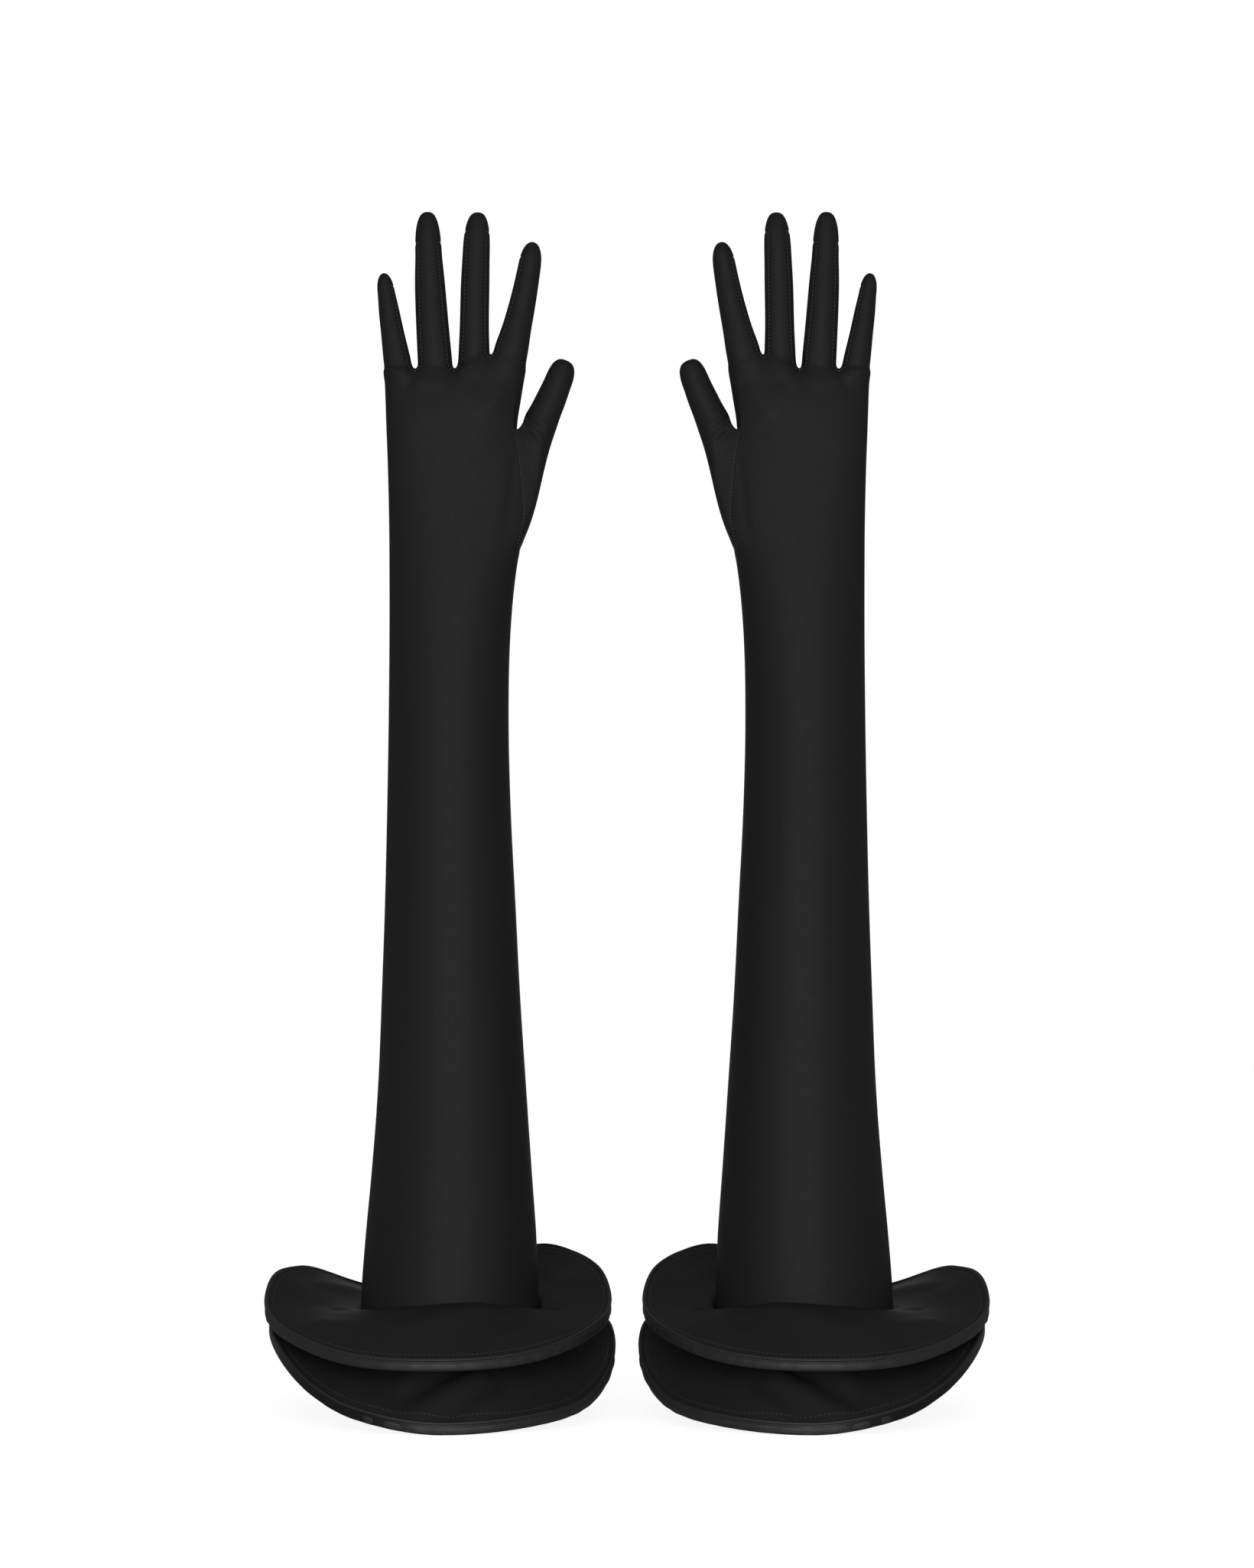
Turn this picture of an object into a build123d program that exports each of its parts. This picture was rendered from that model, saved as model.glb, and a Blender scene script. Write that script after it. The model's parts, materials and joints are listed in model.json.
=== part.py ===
from build123d import *

import os
from math import cos, pi, radians, sin, tan

# A pair of opera gloves in stretch knit, each with two stiffened flounces round its arm opening.
#
# The gloves stand side by side on the lower flounces, fingers up, backs of the hands towards -Y.
# X runs from the left glove to the right one, and Z = 0 is the lowest edge of the lower rims.
# Every piece is made for the left glove, about that glove's own sleeve axis, and then moved to its
# place. The right glove's pieces are their mirror images.

# Cloth and trim, in millimetres
cloth = 1.0  # knit cloth of the glove
flounce_cloth = 1.2  # firmer double knit of the flounces
seam_gap = 0.3  # between sewn pieces that are curved alike
bend_gap = 0.4  # between a finger stall and the hand
glove_offset = 90.5  # from the middle of the pair to a sleeve's axis

# Sleeve and hand: height, edge away from the thumb, edge on the thumb's side, depth, squareness
sleeve_bottom = 38.8
hand_stations = (
    (sleeve_bottom, -45.6, 45.6, 91.2, 2.0),
    (56, -45.6, 45.6, 91.2, 2.0),
    (86, -43.4, 43.6, 85.0, 2.0),
    (142, -38.4, 39.6, 75.0, 2.0),
    (236, -34.0, 33.8, 63.0, 2.0),
    (330, -31.6, 30.0, 54.0, 2.0),
    (380, -30.8, 29.7, 49.0, 2.1),
    (423, -30.8, 32.0, 41.0, 2.2),
    (455, -31.0, 39.2, 35.0, 2.4),
    (485, -31.5, 38.8, 30.0, 2.6),
    (507, -32.0, 35.6, 27.0, 2.6),
    (528, -33.2, 37.6, 25.0, 2.6),
    (550, -35.2, 41.4, 24.0, 2.6),
)
outline_points = 16

# Finger stalls: middle of the base (x, z), lean towards the thumb, length, width at the base, half
# way up and at the shoulder of the tip
fingers = {
    "index": ((30.8, 541.0), 11.7, 56.4, 17.8, 14.9, 12.0),
    "middle": ((12.2, 541.5), 1.6, 71.0, 16.0, 15.3, 13.8),
    "ring": ((-7.8, 537.5), -3.0, 75.2, 17.6, 16.6, 13.6),
    "little": ((-26.6, 534.5), -9.0, 47.8, 14.8, 11.1, 8.8),
}
web_places = (-17.5, 2.4, 20.7)  # x of the three webs, little finger to index
stall_depth = 0.9  # depth of a stall as a share of its width
strip_reach = 0.86  # share of a finger's length that its side strips cover
strip_share = (0.68, 0.62)  # where a strip starts, as a share of half the width, at base and end

# Thumb: a gusset sewn to the hand along an upright seam, and a stall on top of it
thumb_seam = 37.3  # x of the seam
thumb_seam_middle, thumb_seam_height, thumb_seam_depth = 471.5, 56.0, 14.0
thumb_cut = (438.0, 503.5)  # heights between which the hand stops at the seam
thumb = ((45.6, 504.0), 23.6, 34.6, 17.4, 15.8, 13.4)

# Flounces
sewn_radius = 45.9  # inner edge of both flounces
# Reach of each rim's outer face, and how much more of it lies away from the thumb
upper_reach, lower_reach = (88.2, 5.8), (88.4, 4.0)
binding_height, binding_thickness = 6.5, 2.2
binding_cloth = 0.5
boning_clearance = 0.1
upper_seam, lower_seam = 57.0, 40.0  # heights of the two sewn inner edges
rim_droop = 1.4  # how late the slope of a flounce starts; 1 is a straight slope
ring_step = 15  # degrees between the radial sections of a ring

# Heights of the rims' top edges: (angle from the thumb's side towards the palm, height)
upper_rim = (
    (-90, 38), (-60, 40.5), (-30, 49), (0, 59), (25, 73.5), (57, 81),
    (95, 46), (123, 59.5), (150, 71), (166, 69), (185, 58.5), (212, 48), (240, 39.5),
)  # fmt: skip
lower_rim = (
    (-90, 6.5), (-60, 9), (-35, 14.5), (-15, 26), (0, 36.5), (15, 46), (32, 49.5), (60, 29),
    (90, 6.5), (120, 24), (148, 44), (168, 51.5), (180, 50.5), (200, 39.5), (222, 23), (240, 13),
)  # fmt: skip

# Elastic sewn inside the arm opening
elastic_outer, elastic_inner, elastic_low, elastic_high = 44.2, 43.0, 39.4, 53.4


def rounded_outline(left, right, depth, squareness):
    """Points round a section of the sleeve or hand, an ellipse with squared shoulders."""
    middle, half_width, half_depth = (left + right) / 2, (right - left) / 2, depth / 2
    points = []
    for step in range(outline_points):
        turn = 2 * pi * step / outline_points
        across = abs(cos(turn)) ** (2 / squareness) * (1 if cos(turn) > 0 else -1)
        along = abs(sin(turn)) ** (2 / squareness) * (1 if sin(turn) > 0 else -1)
        points.append((middle + half_width * across, half_depth * along))
    return points


def height_round_rim(stations, angle):
    """Height of a rim at an angle, smooth through its stations, which are its only high and low points."""
    angle = (angle + 90) % 360 - 90
    ring = [(stations[-1][0] - 360, stations[-1][1]), *stations]
    ring += [(a + 360, h) for a, h in stations[:2]]
    place = max(i for i in range(1, len(ring) - 2) if ring[i][0] <= angle)
    before, start, end, after = ring[place - 1 : place + 3]

    def slope(left, middle, right):
        rise = (middle[1] - left[1]) * (right[1] - middle[1])
        return (right[1] - left[1]) / (right[0] - left[0]) if rise > 0 else 0

    span = end[0] - start[0]
    t = (angle - start[0]) / span
    leaving, arriving = slope(before, start, end) * span, slope(start, end, after) * span
    return (
        start[1] * (1 + 2 * t) * (1 - t) ** 2
        + leaving * t * (1 - t) ** 2
        + end[1] * t * t * (3 - 2 * t)
        + arriving * t * t * (t - 1)
    )


def reach_at(reach, angle):
    """Distance of a rim from the sleeve's axis at an angle, out to the binding's outer face."""
    radius, shift = reach
    return radius - shift * cos(radians(angle))


def radial_plane(angle):
    """The upright plane through the sleeve's axis: x outwards, y up."""
    across, along = cos(radians(angle)), sin(radians(angle))
    return Plane(origin=(0, 0, 0), x_dir=(across, along, 0), z_dir=(along, -across, 0))


def finger_plane(base, lean):
    """The plane of a finger's outline, in the plane of the hand: x across, y along the finger."""
    turn = radians(lean)
    return Plane(origin=(base[0], 0, base[1]), x_dir=(cos(turn), 0, -sin(turn)), z_dir=(0, -1, 0))


def finger_axis(base, lean):
    turn = radians(lean)
    return Axis((base[0], 0, base[1]), (sin(turn), 0, cos(turn)))


def knuckle_line(inset):
    """Outline of the hand up to the bases of the four fingers, each base square to its finger."""
    edges = (-70, *web_places, 70)
    points = [(70, sleeve_bottom - 5), (-70, sleeve_bottom - 5)]
    for (base, lean, *_), left, right in zip(reversed(fingers.values()), edges, edges[1:]):
        level = base[1] - bend_gap - inset
        points += [(x, level - (x - base[0]) * tan(radians(lean))) for x in (left, right)]
    return points


def hand_space(inset):
    """The space that the sleeve and hand fill, drawn in by inset: outside of the cloth, or its inside."""
    knuckles = knuckle_line(inset)
    with BuildPart() as space:
        for height, left, right, depth, squareness in hand_stations:
            outline = rounded_outline(left + inset, right - inset, depth - 2 * inset, squareness)
            with BuildSketch(Plane.XY.offset(height)):
                with BuildLine():
                    Spline(*outline, periodic=True)
                make_face()
        loft()
        with BuildSketch(Plane.XZ):
            with BuildLine():
                Polyline(*knuckles, close=True)
            make_face()
        extrude(amount=100, both=True, mode=Mode.INTERSECT)
    return space.part


def hand_cloth():
    """The sleeve and hand as one skin, with holes for the fingers and thumb."""
    outside, inside = hand_space(0), hand_space(cloth)
    edge, (low, high) = thumb_seam - seam_gap, thumb_cut
    with BuildPart() as skin:
        add(outside)
        add(inside, mode=Mode.SUBTRACT)
        for base, lean, _, width, *_ in fingers.values():
            direction = finger_axis(base, lean).direction
            with BuildSketch(Plane(origin=Vector(base[0], 0, base[1]) - direction * 4, z_dir=direction)):
                Ellipse(width / 2 - cloth, width / 2 * stall_depth - cloth)
            extrude(amount=6, mode=Mode.SUBTRACT)
        with BuildSketch(Plane.XZ):
            with BuildLine():
                Polyline((edge, low), (80, low), (80, high), (edge, high), close=True)
            make_face()
        extrude(amount=60, both=True, mode=Mode.SUBTRACT)
    return skin.part


def half_panel(skin, kept):
    """The back or the palm half of the skin, parted at the side seams."""
    with BuildPart() as panel:
        add(skin)
        split(bisect_by=Plane.XZ, keep=kept)
    return panel.part


def stall_cloth(base, lean, length, base_width, mid_width, tip_width):
    """A closed finger of cloth: a profile turned about the finger's axis and made less deep than wide."""
    with BuildPart() as stall:
        with BuildSketch(finger_plane(base, lean)):
            with BuildLine():
                rims = []
                for inset in (0, cloth):
                    shoulder = length - 0.42 * tip_width
                    side = Spline(
                        (base_width / 2 - inset, 0),
                        (mid_width / 2 - inset, length / 2),
                        (tip_width / 2 - inset, shoulder - inset),
                        (0, length - inset),
                        tangents=((-0.05, 1), (-1, 0)),
                    )
                    rims.append((side @ 0, side @ 1))
                for outer, inner in zip(*rims):
                    Line(outer, inner)
            make_face()
        revolve(axis=finger_axis(base, lean))
        scale(by=(1, stall_depth, 1))
    return stall.part


def strip_space(name, side):
    """The space of the side strip on one side of a finger: 1 towards the thumb, -1 away from it."""
    base, lean, length, width, *_ = fingers[name]
    low, high = (share * width / 2 * side for share in strip_share)
    with BuildPart() as space:
        with BuildSketch(finger_plane(base, lean)):
            with BuildLine():
                Polyline(
                    (low, -1), (high, length * strip_reach), (side * width, length * strip_reach),
                    (side * width, -1), close=True,
                )  # fmt: skip
            make_face()
        extrude(amount=width, both=True)
    return space.part


def strip_sides(name):
    """The sides of a finger that face another finger: those have side strips."""
    order = ["little", "ring", "middle", "index"]
    place = order.index(name)
    return {side: order[place + side] for side in (-1, 1) if 0 <= place + side < len(order)}


def finger_stall(name):
    """A finger's front, back and tip, between its side strips."""
    whole, strips = stall_cloth(*fingers[name]), [strip_space(name, side) for side in strip_sides(name)]
    with BuildPart() as stall:
        add(whole)
        for space in strips:
            add(space, mode=Mode.SUBTRACT)
    return stall.part


def finger_strip(name, side):
    """A fourchette: the strip of cloth along one side of a finger."""
    whole, space = stall_cloth(*fingers[name]), strip_space(name, side)
    with BuildPart() as strip:
        add(whole)
        add(space, mode=Mode.INTERSECT)
    return strip.part


def thumb_gusset_space(inset):
    """From the upright seam on the hand to the base of the thumb's stall."""
    base, lean, _, width, *_ = thumb
    direction = finger_axis(base, lean).direction
    with BuildPart() as space:
        with BuildSketch(Plane(origin=(thumb_seam, 0, thumb_seam_middle), x_dir=(0, 0, 1), z_dir=(1, 0, 0))):
            Ellipse(thumb_seam_height / 2 - inset, thumb_seam_depth / 2 - inset)
        top = Vector(base[0], 0, base[1]) - direction * bend_gap
        with BuildSketch(Plane(origin=top, x_dir=(-direction.Z, 0, direction.X), z_dir=direction)):
            Ellipse(width / 2 - inset, width / 2 * stall_depth - inset)
        loft()
    return space.part


def thumb_gusset():
    """The tapering sleeve of cloth that carries the thumb."""
    outside, inside = thumb_gusset_space(0), thumb_gusset_space(cloth)
    with BuildPart() as gusset:
        add(outside)
        add(inside, mode=Mode.SUBTRACT)
    return gusset.part


def ring(corners):
    """A closed ring lofted through radial sections; corners(angle) gives a section's (out, up) corners."""
    with BuildPart() as whole:
        for start in (0, 180):
            for angle in range(start, start + 181, ring_step):
                with BuildSketch(radial_plane(angle)):
                    with BuildLine():
                        Polyline(*corners(angle), close=True)
                    make_face()
            loft()
    return whole.part


def flounce(rim, reach, seam):
    """A wavy ring of firm cloth from its sewn inner edge out to the binding."""

    def corners(angle):
        edge_reach = reach_at(reach, angle) - binding_thickness - seam_gap / 3
        edge = height_round_rim(rim, angle)
        top = []
        for share in (0, 0.25, 0.5, 0.75, 1):
            out = sewn_radius + (edge_reach - sewn_radius) * share
            top.append((out, seam + (edge - seam) * share**rim_droop))
        return top + [(out, up - flounce_cloth) for out, up in reversed(top)]

    return ring(corners)


def rim_tube(rim, reach, inset):
    """A ring of oblong section that hangs down from a rim's top edge, drawn in by inset."""

    def corners(angle):
        outer, top = reach_at(reach, angle) - inset, height_round_rim(rim, angle) - inset
        inner = reach_at(reach, angle) - binding_thickness + inset
        low = height_round_rim(rim, angle) - binding_height + inset
        return [(inner, low), (outer, low), (outer, top), (inner, top)]

    return ring(corners)


def rim_binding(rim, reach):
    """The folded tape round a rim, hollow for its boning."""
    outside, inside = rim_tube(rim, reach, 0), rim_tube(rim, reach, binding_cloth)
    with BuildPart() as binding:
        add(outside)
        add(inside, mode=Mode.SUBTRACT)
    return binding.part


def rim_boning(rim, reach):
    """The flexible hoop inside a binding."""
    return rim_tube(rim, reach, binding_cloth + boning_clearance)


def opening_elastic():
    """The band of elastic that grips the arm."""
    with BuildPart() as elastic:
        with BuildSketch(Plane.XY.offset(elastic_low)):
            Circle(elastic_outer)
            Circle(elastic_inner, mode=Mode.SUBTRACT)
        extrude(amount=elastic_high - elastic_low)
    return elastic.part


def glove_pieces():
    """Every piece of the left glove about its own sleeve axis, by name."""
    skin = hand_cloth()
    pieces = {
        "back_panel": half_panel(skin, Keep.TOP),
        "palm_panel": half_panel(skin, Keep.BOTTOM),
        "thumb_gusset": thumb_gusset(),
        "thumb_stall": stall_cloth(*thumb),
        "opening_elastic": opening_elastic(),
    }
    for tier, rim, reach, seam in (
        ("upper", upper_rim, upper_reach, upper_seam),
        ("lower", lower_rim, lower_reach, lower_seam),
    ):
        pieces[f"{tier}_flounce"] = flounce(rim, reach, seam)
        pieces[f"{tier}_rim_binding"] = rim_binding(rim, reach)
        pieces[f"{tier}_rim_boning"] = rim_boning(rim, reach)
    for name in fingers:
        pieces[f"{name}_finger_stall"] = finger_stall(name)
        for side, neighbour in strip_sides(name).items():
            pieces[f"{name}_fourchette_facing_{neighbour}"] = finger_strip(name, side)
    return pieces


os.makedirs("parts", exist_ok=True)
for piece_name, piece in glove_pieces().items():
    left = Pos(-glove_offset, 0, 0) * piece
    right = mirror(left, about=Plane.YZ)
    for side_name, placed in (("left", left), ("right", right)):
        placed.label = f"{side_name}_{piece_name}"
        export_step(placed, f"parts/{placed.label}.step")
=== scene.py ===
import json
import math
import bpy
import numpy as np
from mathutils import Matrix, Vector


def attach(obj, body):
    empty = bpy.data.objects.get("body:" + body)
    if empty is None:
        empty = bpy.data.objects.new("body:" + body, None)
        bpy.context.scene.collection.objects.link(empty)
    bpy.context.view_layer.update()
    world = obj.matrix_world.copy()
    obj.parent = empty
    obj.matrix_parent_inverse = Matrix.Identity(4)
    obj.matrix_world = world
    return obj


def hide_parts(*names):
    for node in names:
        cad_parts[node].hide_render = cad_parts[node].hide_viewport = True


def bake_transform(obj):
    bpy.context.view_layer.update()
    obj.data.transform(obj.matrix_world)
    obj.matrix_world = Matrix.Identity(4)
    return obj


# A pair of opera gloves in satin jersey, each standing on two stiff-rimmed flounces.
# Shapes are worked out once for the left glove, in millimetres about its sleeve's axis,
# with x towards the thumb, and are then placed for each side.

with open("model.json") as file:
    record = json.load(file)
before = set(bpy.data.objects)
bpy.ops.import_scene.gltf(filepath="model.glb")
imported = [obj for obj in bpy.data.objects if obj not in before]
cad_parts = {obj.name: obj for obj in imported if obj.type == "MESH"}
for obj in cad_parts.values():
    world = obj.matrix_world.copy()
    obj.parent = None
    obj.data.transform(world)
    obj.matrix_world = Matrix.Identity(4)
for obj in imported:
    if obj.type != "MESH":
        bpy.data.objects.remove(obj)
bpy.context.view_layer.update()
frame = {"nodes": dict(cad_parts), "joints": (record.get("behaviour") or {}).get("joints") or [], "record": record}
mm = 0.001
joints = {joint["name"]: joint for joint in frame["joints"]}
openings = {mount["name"]: mount for mount in frame["record"]["mounts"]}
sides = {"left": 1, "right": -1}  # the right glove is the left one mirrored
sleeveAxis = {side: openings[f"{side}_arm_opening"]["pos_m"][0] / mm for side in sides}


def ease(start, leaving, end, arriving, t):
    # a cubic from start to end, with its rates of change at both ends
    return (
        start * (1 + 2 * t) * (1 - t) ** 2
        + leaving * t * (1 - t) ** 2
        + end * t * t * (3 - 2 * t)
        + arriving * t * t * (t - 1)
    )


def through(stations, where):
    # a smooth curve through rows of (place, value, value ...)
    table = np.array(stations, float)
    places, values = table[:, 0], table[:, 1:]
    slopes = np.gradient(values, places, axis=0)
    where = np.clip(np.asarray(where, float), places[0], places[-1])
    spot = np.clip(np.searchsorted(places, where) - 1, 0, len(places) - 2)
    span = (places[spot + 1] - places[spot])[..., None]
    t = (where - places[spot])[..., None] / span
    return ease(values[spot], slopes[spot] * span, values[spot + 1], slopes[spot + 1] * span, t)


def smoothStep(value, low, high):
    t = np.clip((value - low) / (high - low), 0, 1)
    return t * t * (3 - 2 * t)


def signedPower(value, power):
    return np.sign(value) * np.abs(value) ** power


# ---- the glove's skin: one cage for hand, fingers and thumb, then split at its seams

sleeve = {
    "stations": (  # height, edge away from the thumb, edge on its side, depth, squareness
        (38.8, -45.3, 45.5, 90.8, 2.0),
        (58, -45.3, 45.5, 90.8, 2.0),
        (87, -43.3, 44.7, 85.4, 2.0),
        (120, -40.2, 42.4, 79.4, 2.0),
        (167, -36.6, 39.2, 72.0, 2.0),
        (214, -34.7, 36.1, 66.0, 2.0),
        (260, -33.1, 33.8, 61.0, 2.0),
        (307, -32.0, 31.4, 56.5, 2.0),
        (354, -31.2, 30.3, 52.0, 2.0),
        (401, -30.8, 31.4, 46.0, 2.1),
        (424, -30.8, 33.4, 41.0, 2.2),
        (441, -30.9, 36.0, 37.5, 2.3),
        (456, -31.1, 38.8, 34.5, 2.4),
        (471, -31.4, 39.0, 31.6, 2.5),
        (486, -31.8, 37.6, 29.4, 2.6),
        (501, -32.4, 34.4, 27.2, 2.6),
        (515, -32.9, 36.4, 25.0, 2.6),
        (529, -33.5, 38.7, 21.5, 2.5),
    ),
    "ringSpacing": 11.5,
    "upperRings": (508, 515, 521, 526.5),  # heights of the rings above the thumb's seam
    "wall": 0.9,  # cloth
    "fingersStart": (470, 535),  # where the rings begin to follow the fingers
    "sideCorner": ((430, 18), (450, 24), (500, 24), (535, 30)),  # half angle of the narrow sides
}
across = 16  # steps over the back of the hand, four to each finger
aside = 4  # steps over each narrow side
ringCount = 2 * (across + aside)

fingers = {  # half widths along the finger from its base; bow leans its middle to the thumb
    "little": {"length": 47.6, "halfWidths": ((-2, 7.5), (3.4, 7.1), (17.7, 6.0), (26.8, 5.5), (37, 4.6)),
               "bow": -0.2, "tip": 2.2, "start": 2.6},
    "ring": {"length": 75.5, "halfWidths": ((-4, 9.1), (14.5, 8.6), (28.5, 8.25), (42.6, 7.7), (52.6, 7.0)),
             "bow": -0.5, "tip": 2.7, "start": 0.0},
    "middle": {"length": 71.2, "halfWidths": ((-4, 8.3), (10.5, 7.7), (34.5, 7.5), (48.5, 7.15)),
               "bow": -0.4, "tip": 2.7, "start": 0.6},
    "index": {"length": 57.6, "halfWidths": ((-2, 9.3), (2, 8.9), (11.2, 7.8), (20.4, 7.2), (35.7, 6.4),
                                               (44.9, 6.0)),
              "bow": 0.9, "tip": 2.2, "start": 2.2},
}  # fmt: skip
webs = {"x": (-17.5, 2.5, 20.9), "height": (531.7, 531.9, 538.9), "halfDepth": 6.2}
knuckles = {"x": (-34.2, 39.3), "height": (531.0, 532.5), "halfDepth": 8.4, "cornerDepth": 4.6}
webRadius = 1.9  # height above a web where the fingers' sides become straight
fourchetteReach = 0.86  # share of a finger that its side strips cover
fingerStep = 4.6
fingerShift = 0.3  # the fingers' cloth bulges a little to the thumb's side
fingerBlend = (-1.0, 22.0)  # stretch of a finger, from its base, about its fold
tipShares = (0.3, 0.56, 0.76, 0.9, 0.975)  # rings over a rounded tip

thumb = {
    "seam": (441, 501), "rows": 6, "rings": 6, "length": 35.9, "bow": 0.5, "tip": 2.9, "start": 2.5,
    "halfWidths": ((-4, 9.2), (2, 8.9), (6.5, 8.3), (16.2, 7.75), (22, 7.25)),
    "base": (45.7, 504.0), "lean": 22.8, "depthShare": 0.9,
    "seamLine": (  # height, x and half depth of the gusset's seam
        (441, 33.8, 10.6), (451, 37.6, 10.2), (461, 37.5, 9.8), (471, 36.9, 9.5), (481, 36.1, 9.2),
        (491, 35.2, 8.7), (501, 32.6, 7.8)),
    "leaving": ((0.5, 0.87), (0.9, 0.44), (0.9, 0.22)),  # from the seam's foot, middle and top
    "narrowing": 0.3,  # how fast the gusset gets less deep as it leaves the hand
    "blend": ((36.5, 0, 484.0), (50.0, 0, 495.0)),  # points about the thumb's root
}  # fmt: skip

seamGroove = 0.32
features = {  # soft folds in the cloth: from and to (x, z), width and height, on the back of the hand
    "thumbRoot": ((38.0, 503.6), (46.5, 497.4), 0.9, 0.85),
    "thumbRootAbove": ((39.6, 506.0), (48.0, 500.4), 0.8, -0.55),
    "thumbRootBelow": ((37.4, 500.6), (45.0, 494.4), 0.8, -0.5),
    "thumbRootUpper": ((41.8, 507.4), (50.0, 502.6), 0.8, 0.5),
    "indexKnuckle": ((18.5, 511.0), (27.0, 520.0), 3.6, 0.7),
    "underIndexWeb": ((18.5, 539.5), (13.5, 526.0), 3.2, -0.7),
    "underRingWeb": ((2.4, 534.5), (0.5, 524.5), 2.6, -0.6),
    "underLittleWeb": ((-17.6, 534.5), (-20.5, 525.0), 2.6, -0.7),
    "knuckleHollow": ((-22.0, 521.0), (18.0, 524.5), 6.5, -0.55),
    "thumbSide": ((33.5, 486.0), (30.0, 452.0), 2.6, -0.35),
}


def fingerFrame(name):
    # a finger's base, its direction and the direction across it, from its CAD hinge
    joint = joints[f"left_{name}_finger_fold"]
    place, axis = np.array(joint["pos_m"]) / mm, np.array(joint["axis"], float)
    base = np.array([place[0] - sleeveAxis["left"] + fingerShift, 0, place[2]])
    cross = -axis / np.linalg.norm(axis)
    return base, np.array([-cross[2], 0, cross[0]]), cross, place[1]


def stallHalfWidth(shape, t):
    # half width at a distance from the base, closing over the tip
    last, wide = shape["halfWidths"][-1]
    if t <= last:
        return float(through(shape["halfWidths"], t)[0])
    left = (t - last) / (shape["length"] - last)
    return wide * max(0.0, 1 - left ** shape["tip"]) ** (1 / shape["tip"])


def stallPlaces(shape):
    # distances from the base for a stall's rings, closer together over the tip
    last, length = shape["halfWidths"][-1][0], shape["length"]
    count = max(2, round((last - shape["start"]) / fingerStep))
    straight = np.linspace(shape["start"], last, count + 1)
    return list(straight) + [last + (length - last) * share for share in tipShares]


class Cage:
    def __init__(self):
        self.points, self.faces, self.flat, self.pieces = [], [], {}, []

    def add(self, points):
        first = len(self.points)
        self.points += [list(map(float, point)) for point in points]
        return list(range(first, len(self.points)))

    def layFlat(self, order, panel, centre, level, shift=0.0):
        # pattern coordinates of a row: distance along the cloth from its centre, and height
        places = np.array([self.points[i] for i in order])
        walk = np.concatenate([[0], np.cumsum(np.linalg.norm(np.diff(places, axis=0), axis=1))])
        walk = walk - walk[centre] + shift
        for i, along in zip(order, walk):
            self.flat[i, panel] = (along * mm, level * mm)

    def band(self, lower, upper, panels, pieces):
        # quads between two closed rows, with a panel and a piece for each column
        count = len(lower)
        for j in range(count):
            k = (j + 1) % count
            if pieces[j]:
                self.faces.append((lower[j], lower[k], upper[k], upper[j]))
                self.pieces.append((pieces[j], panels[j]))

    def close(self, ring, pole, panels, pieces):
        for j in range(len(ring)):
            self.faces.append((ring[j], ring[(j + 1) % len(ring)], pole))
            self.pieces.append((pieces[j], panels[j]))


def handRing(height):
    left, right, depth, squareness = through(sleeve["stations"], height)
    middle, half, deep, power = (left + right) / 2, (right - left) / 2, depth / 2, 2 / squareness
    corner = np.interp(height, *zip(*sleeve["sideCorner"]))
    wide = (180 - 2 * corner) * np.arange(across + 1) / across
    narrow = 2 * corner * np.arange(1, aside) / aside
    angles = [180 + corner + wide, narrow - corner, corner + wide, 180 - corner + narrow]
    angles = np.radians(np.concatenate(angles))
    x, y = middle + half * signedPower(np.cos(angles), power), deep * signedPower(np.sin(angles), power)
    pull = smoothStep(height, *sleeve["fingersStart"])
    target = fingerColumns()
    for first, wanted in ((0, target), (across + aside, target[::-1])):
        row = slice(first, first + across + 1)
        inner = row if pull == 0 else slice(first + 1, first + across)
        shift = pull * (wanted - x[row])
        x[inner] += shift[1:-1] if pull else 0
        share = np.clip(np.abs(x[inner] - middle) / half, 0, 1)
        if pull:
            y[inner] = np.sign(y[inner]) * deep * (1 - share**squareness) ** (1 / squareness)
    if thumb["seam"][0] <= height <= thumb["seam"][1]:
        seamX, seamDepth = through(thumb["seamLine"], height)
        share = np.clip((x - middle) / (x[across] - middle), 0, 1)
        reach = share * (seamX - middle)
        flatter = deep - (deep - seamDepth) * share**2.2
        front = np.arange(ringCount) <= across
        back = (np.arange(ringCount) >= across + aside) & (np.arange(ringCount) <= 2 * across + aside)
        near = (share > 0) & (front | back)
        x, y = np.where(near, middle + reach, x), np.where(near, np.where(front, -flatter, flatter), y)
        turn = np.radians(-90 + 180 * np.arange(1, aside) / aside)
        x[across + 1 : across + aside] = seamX + (right - seamX) * np.cos(turn)
        y[across + 1 : across + aside] = seamDepth * np.sin(turn)
    return np.stack([x, y, np.full(ringCount, height)], axis=1)


def fingerColumns():
    # x of the columns over the knuckles, with a column on each web
    edges = (knuckles["x"][0] + 1.6, *webs["x"], knuckles["x"][1] - 1.8)
    columns = [edges[0]]
    for low, high in zip(edges, edges[1:]):
        columns += [low + (high - low) * share for share in (0.23, 0.5, 0.77, 1.0)]
    return np.array(columns)


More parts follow.
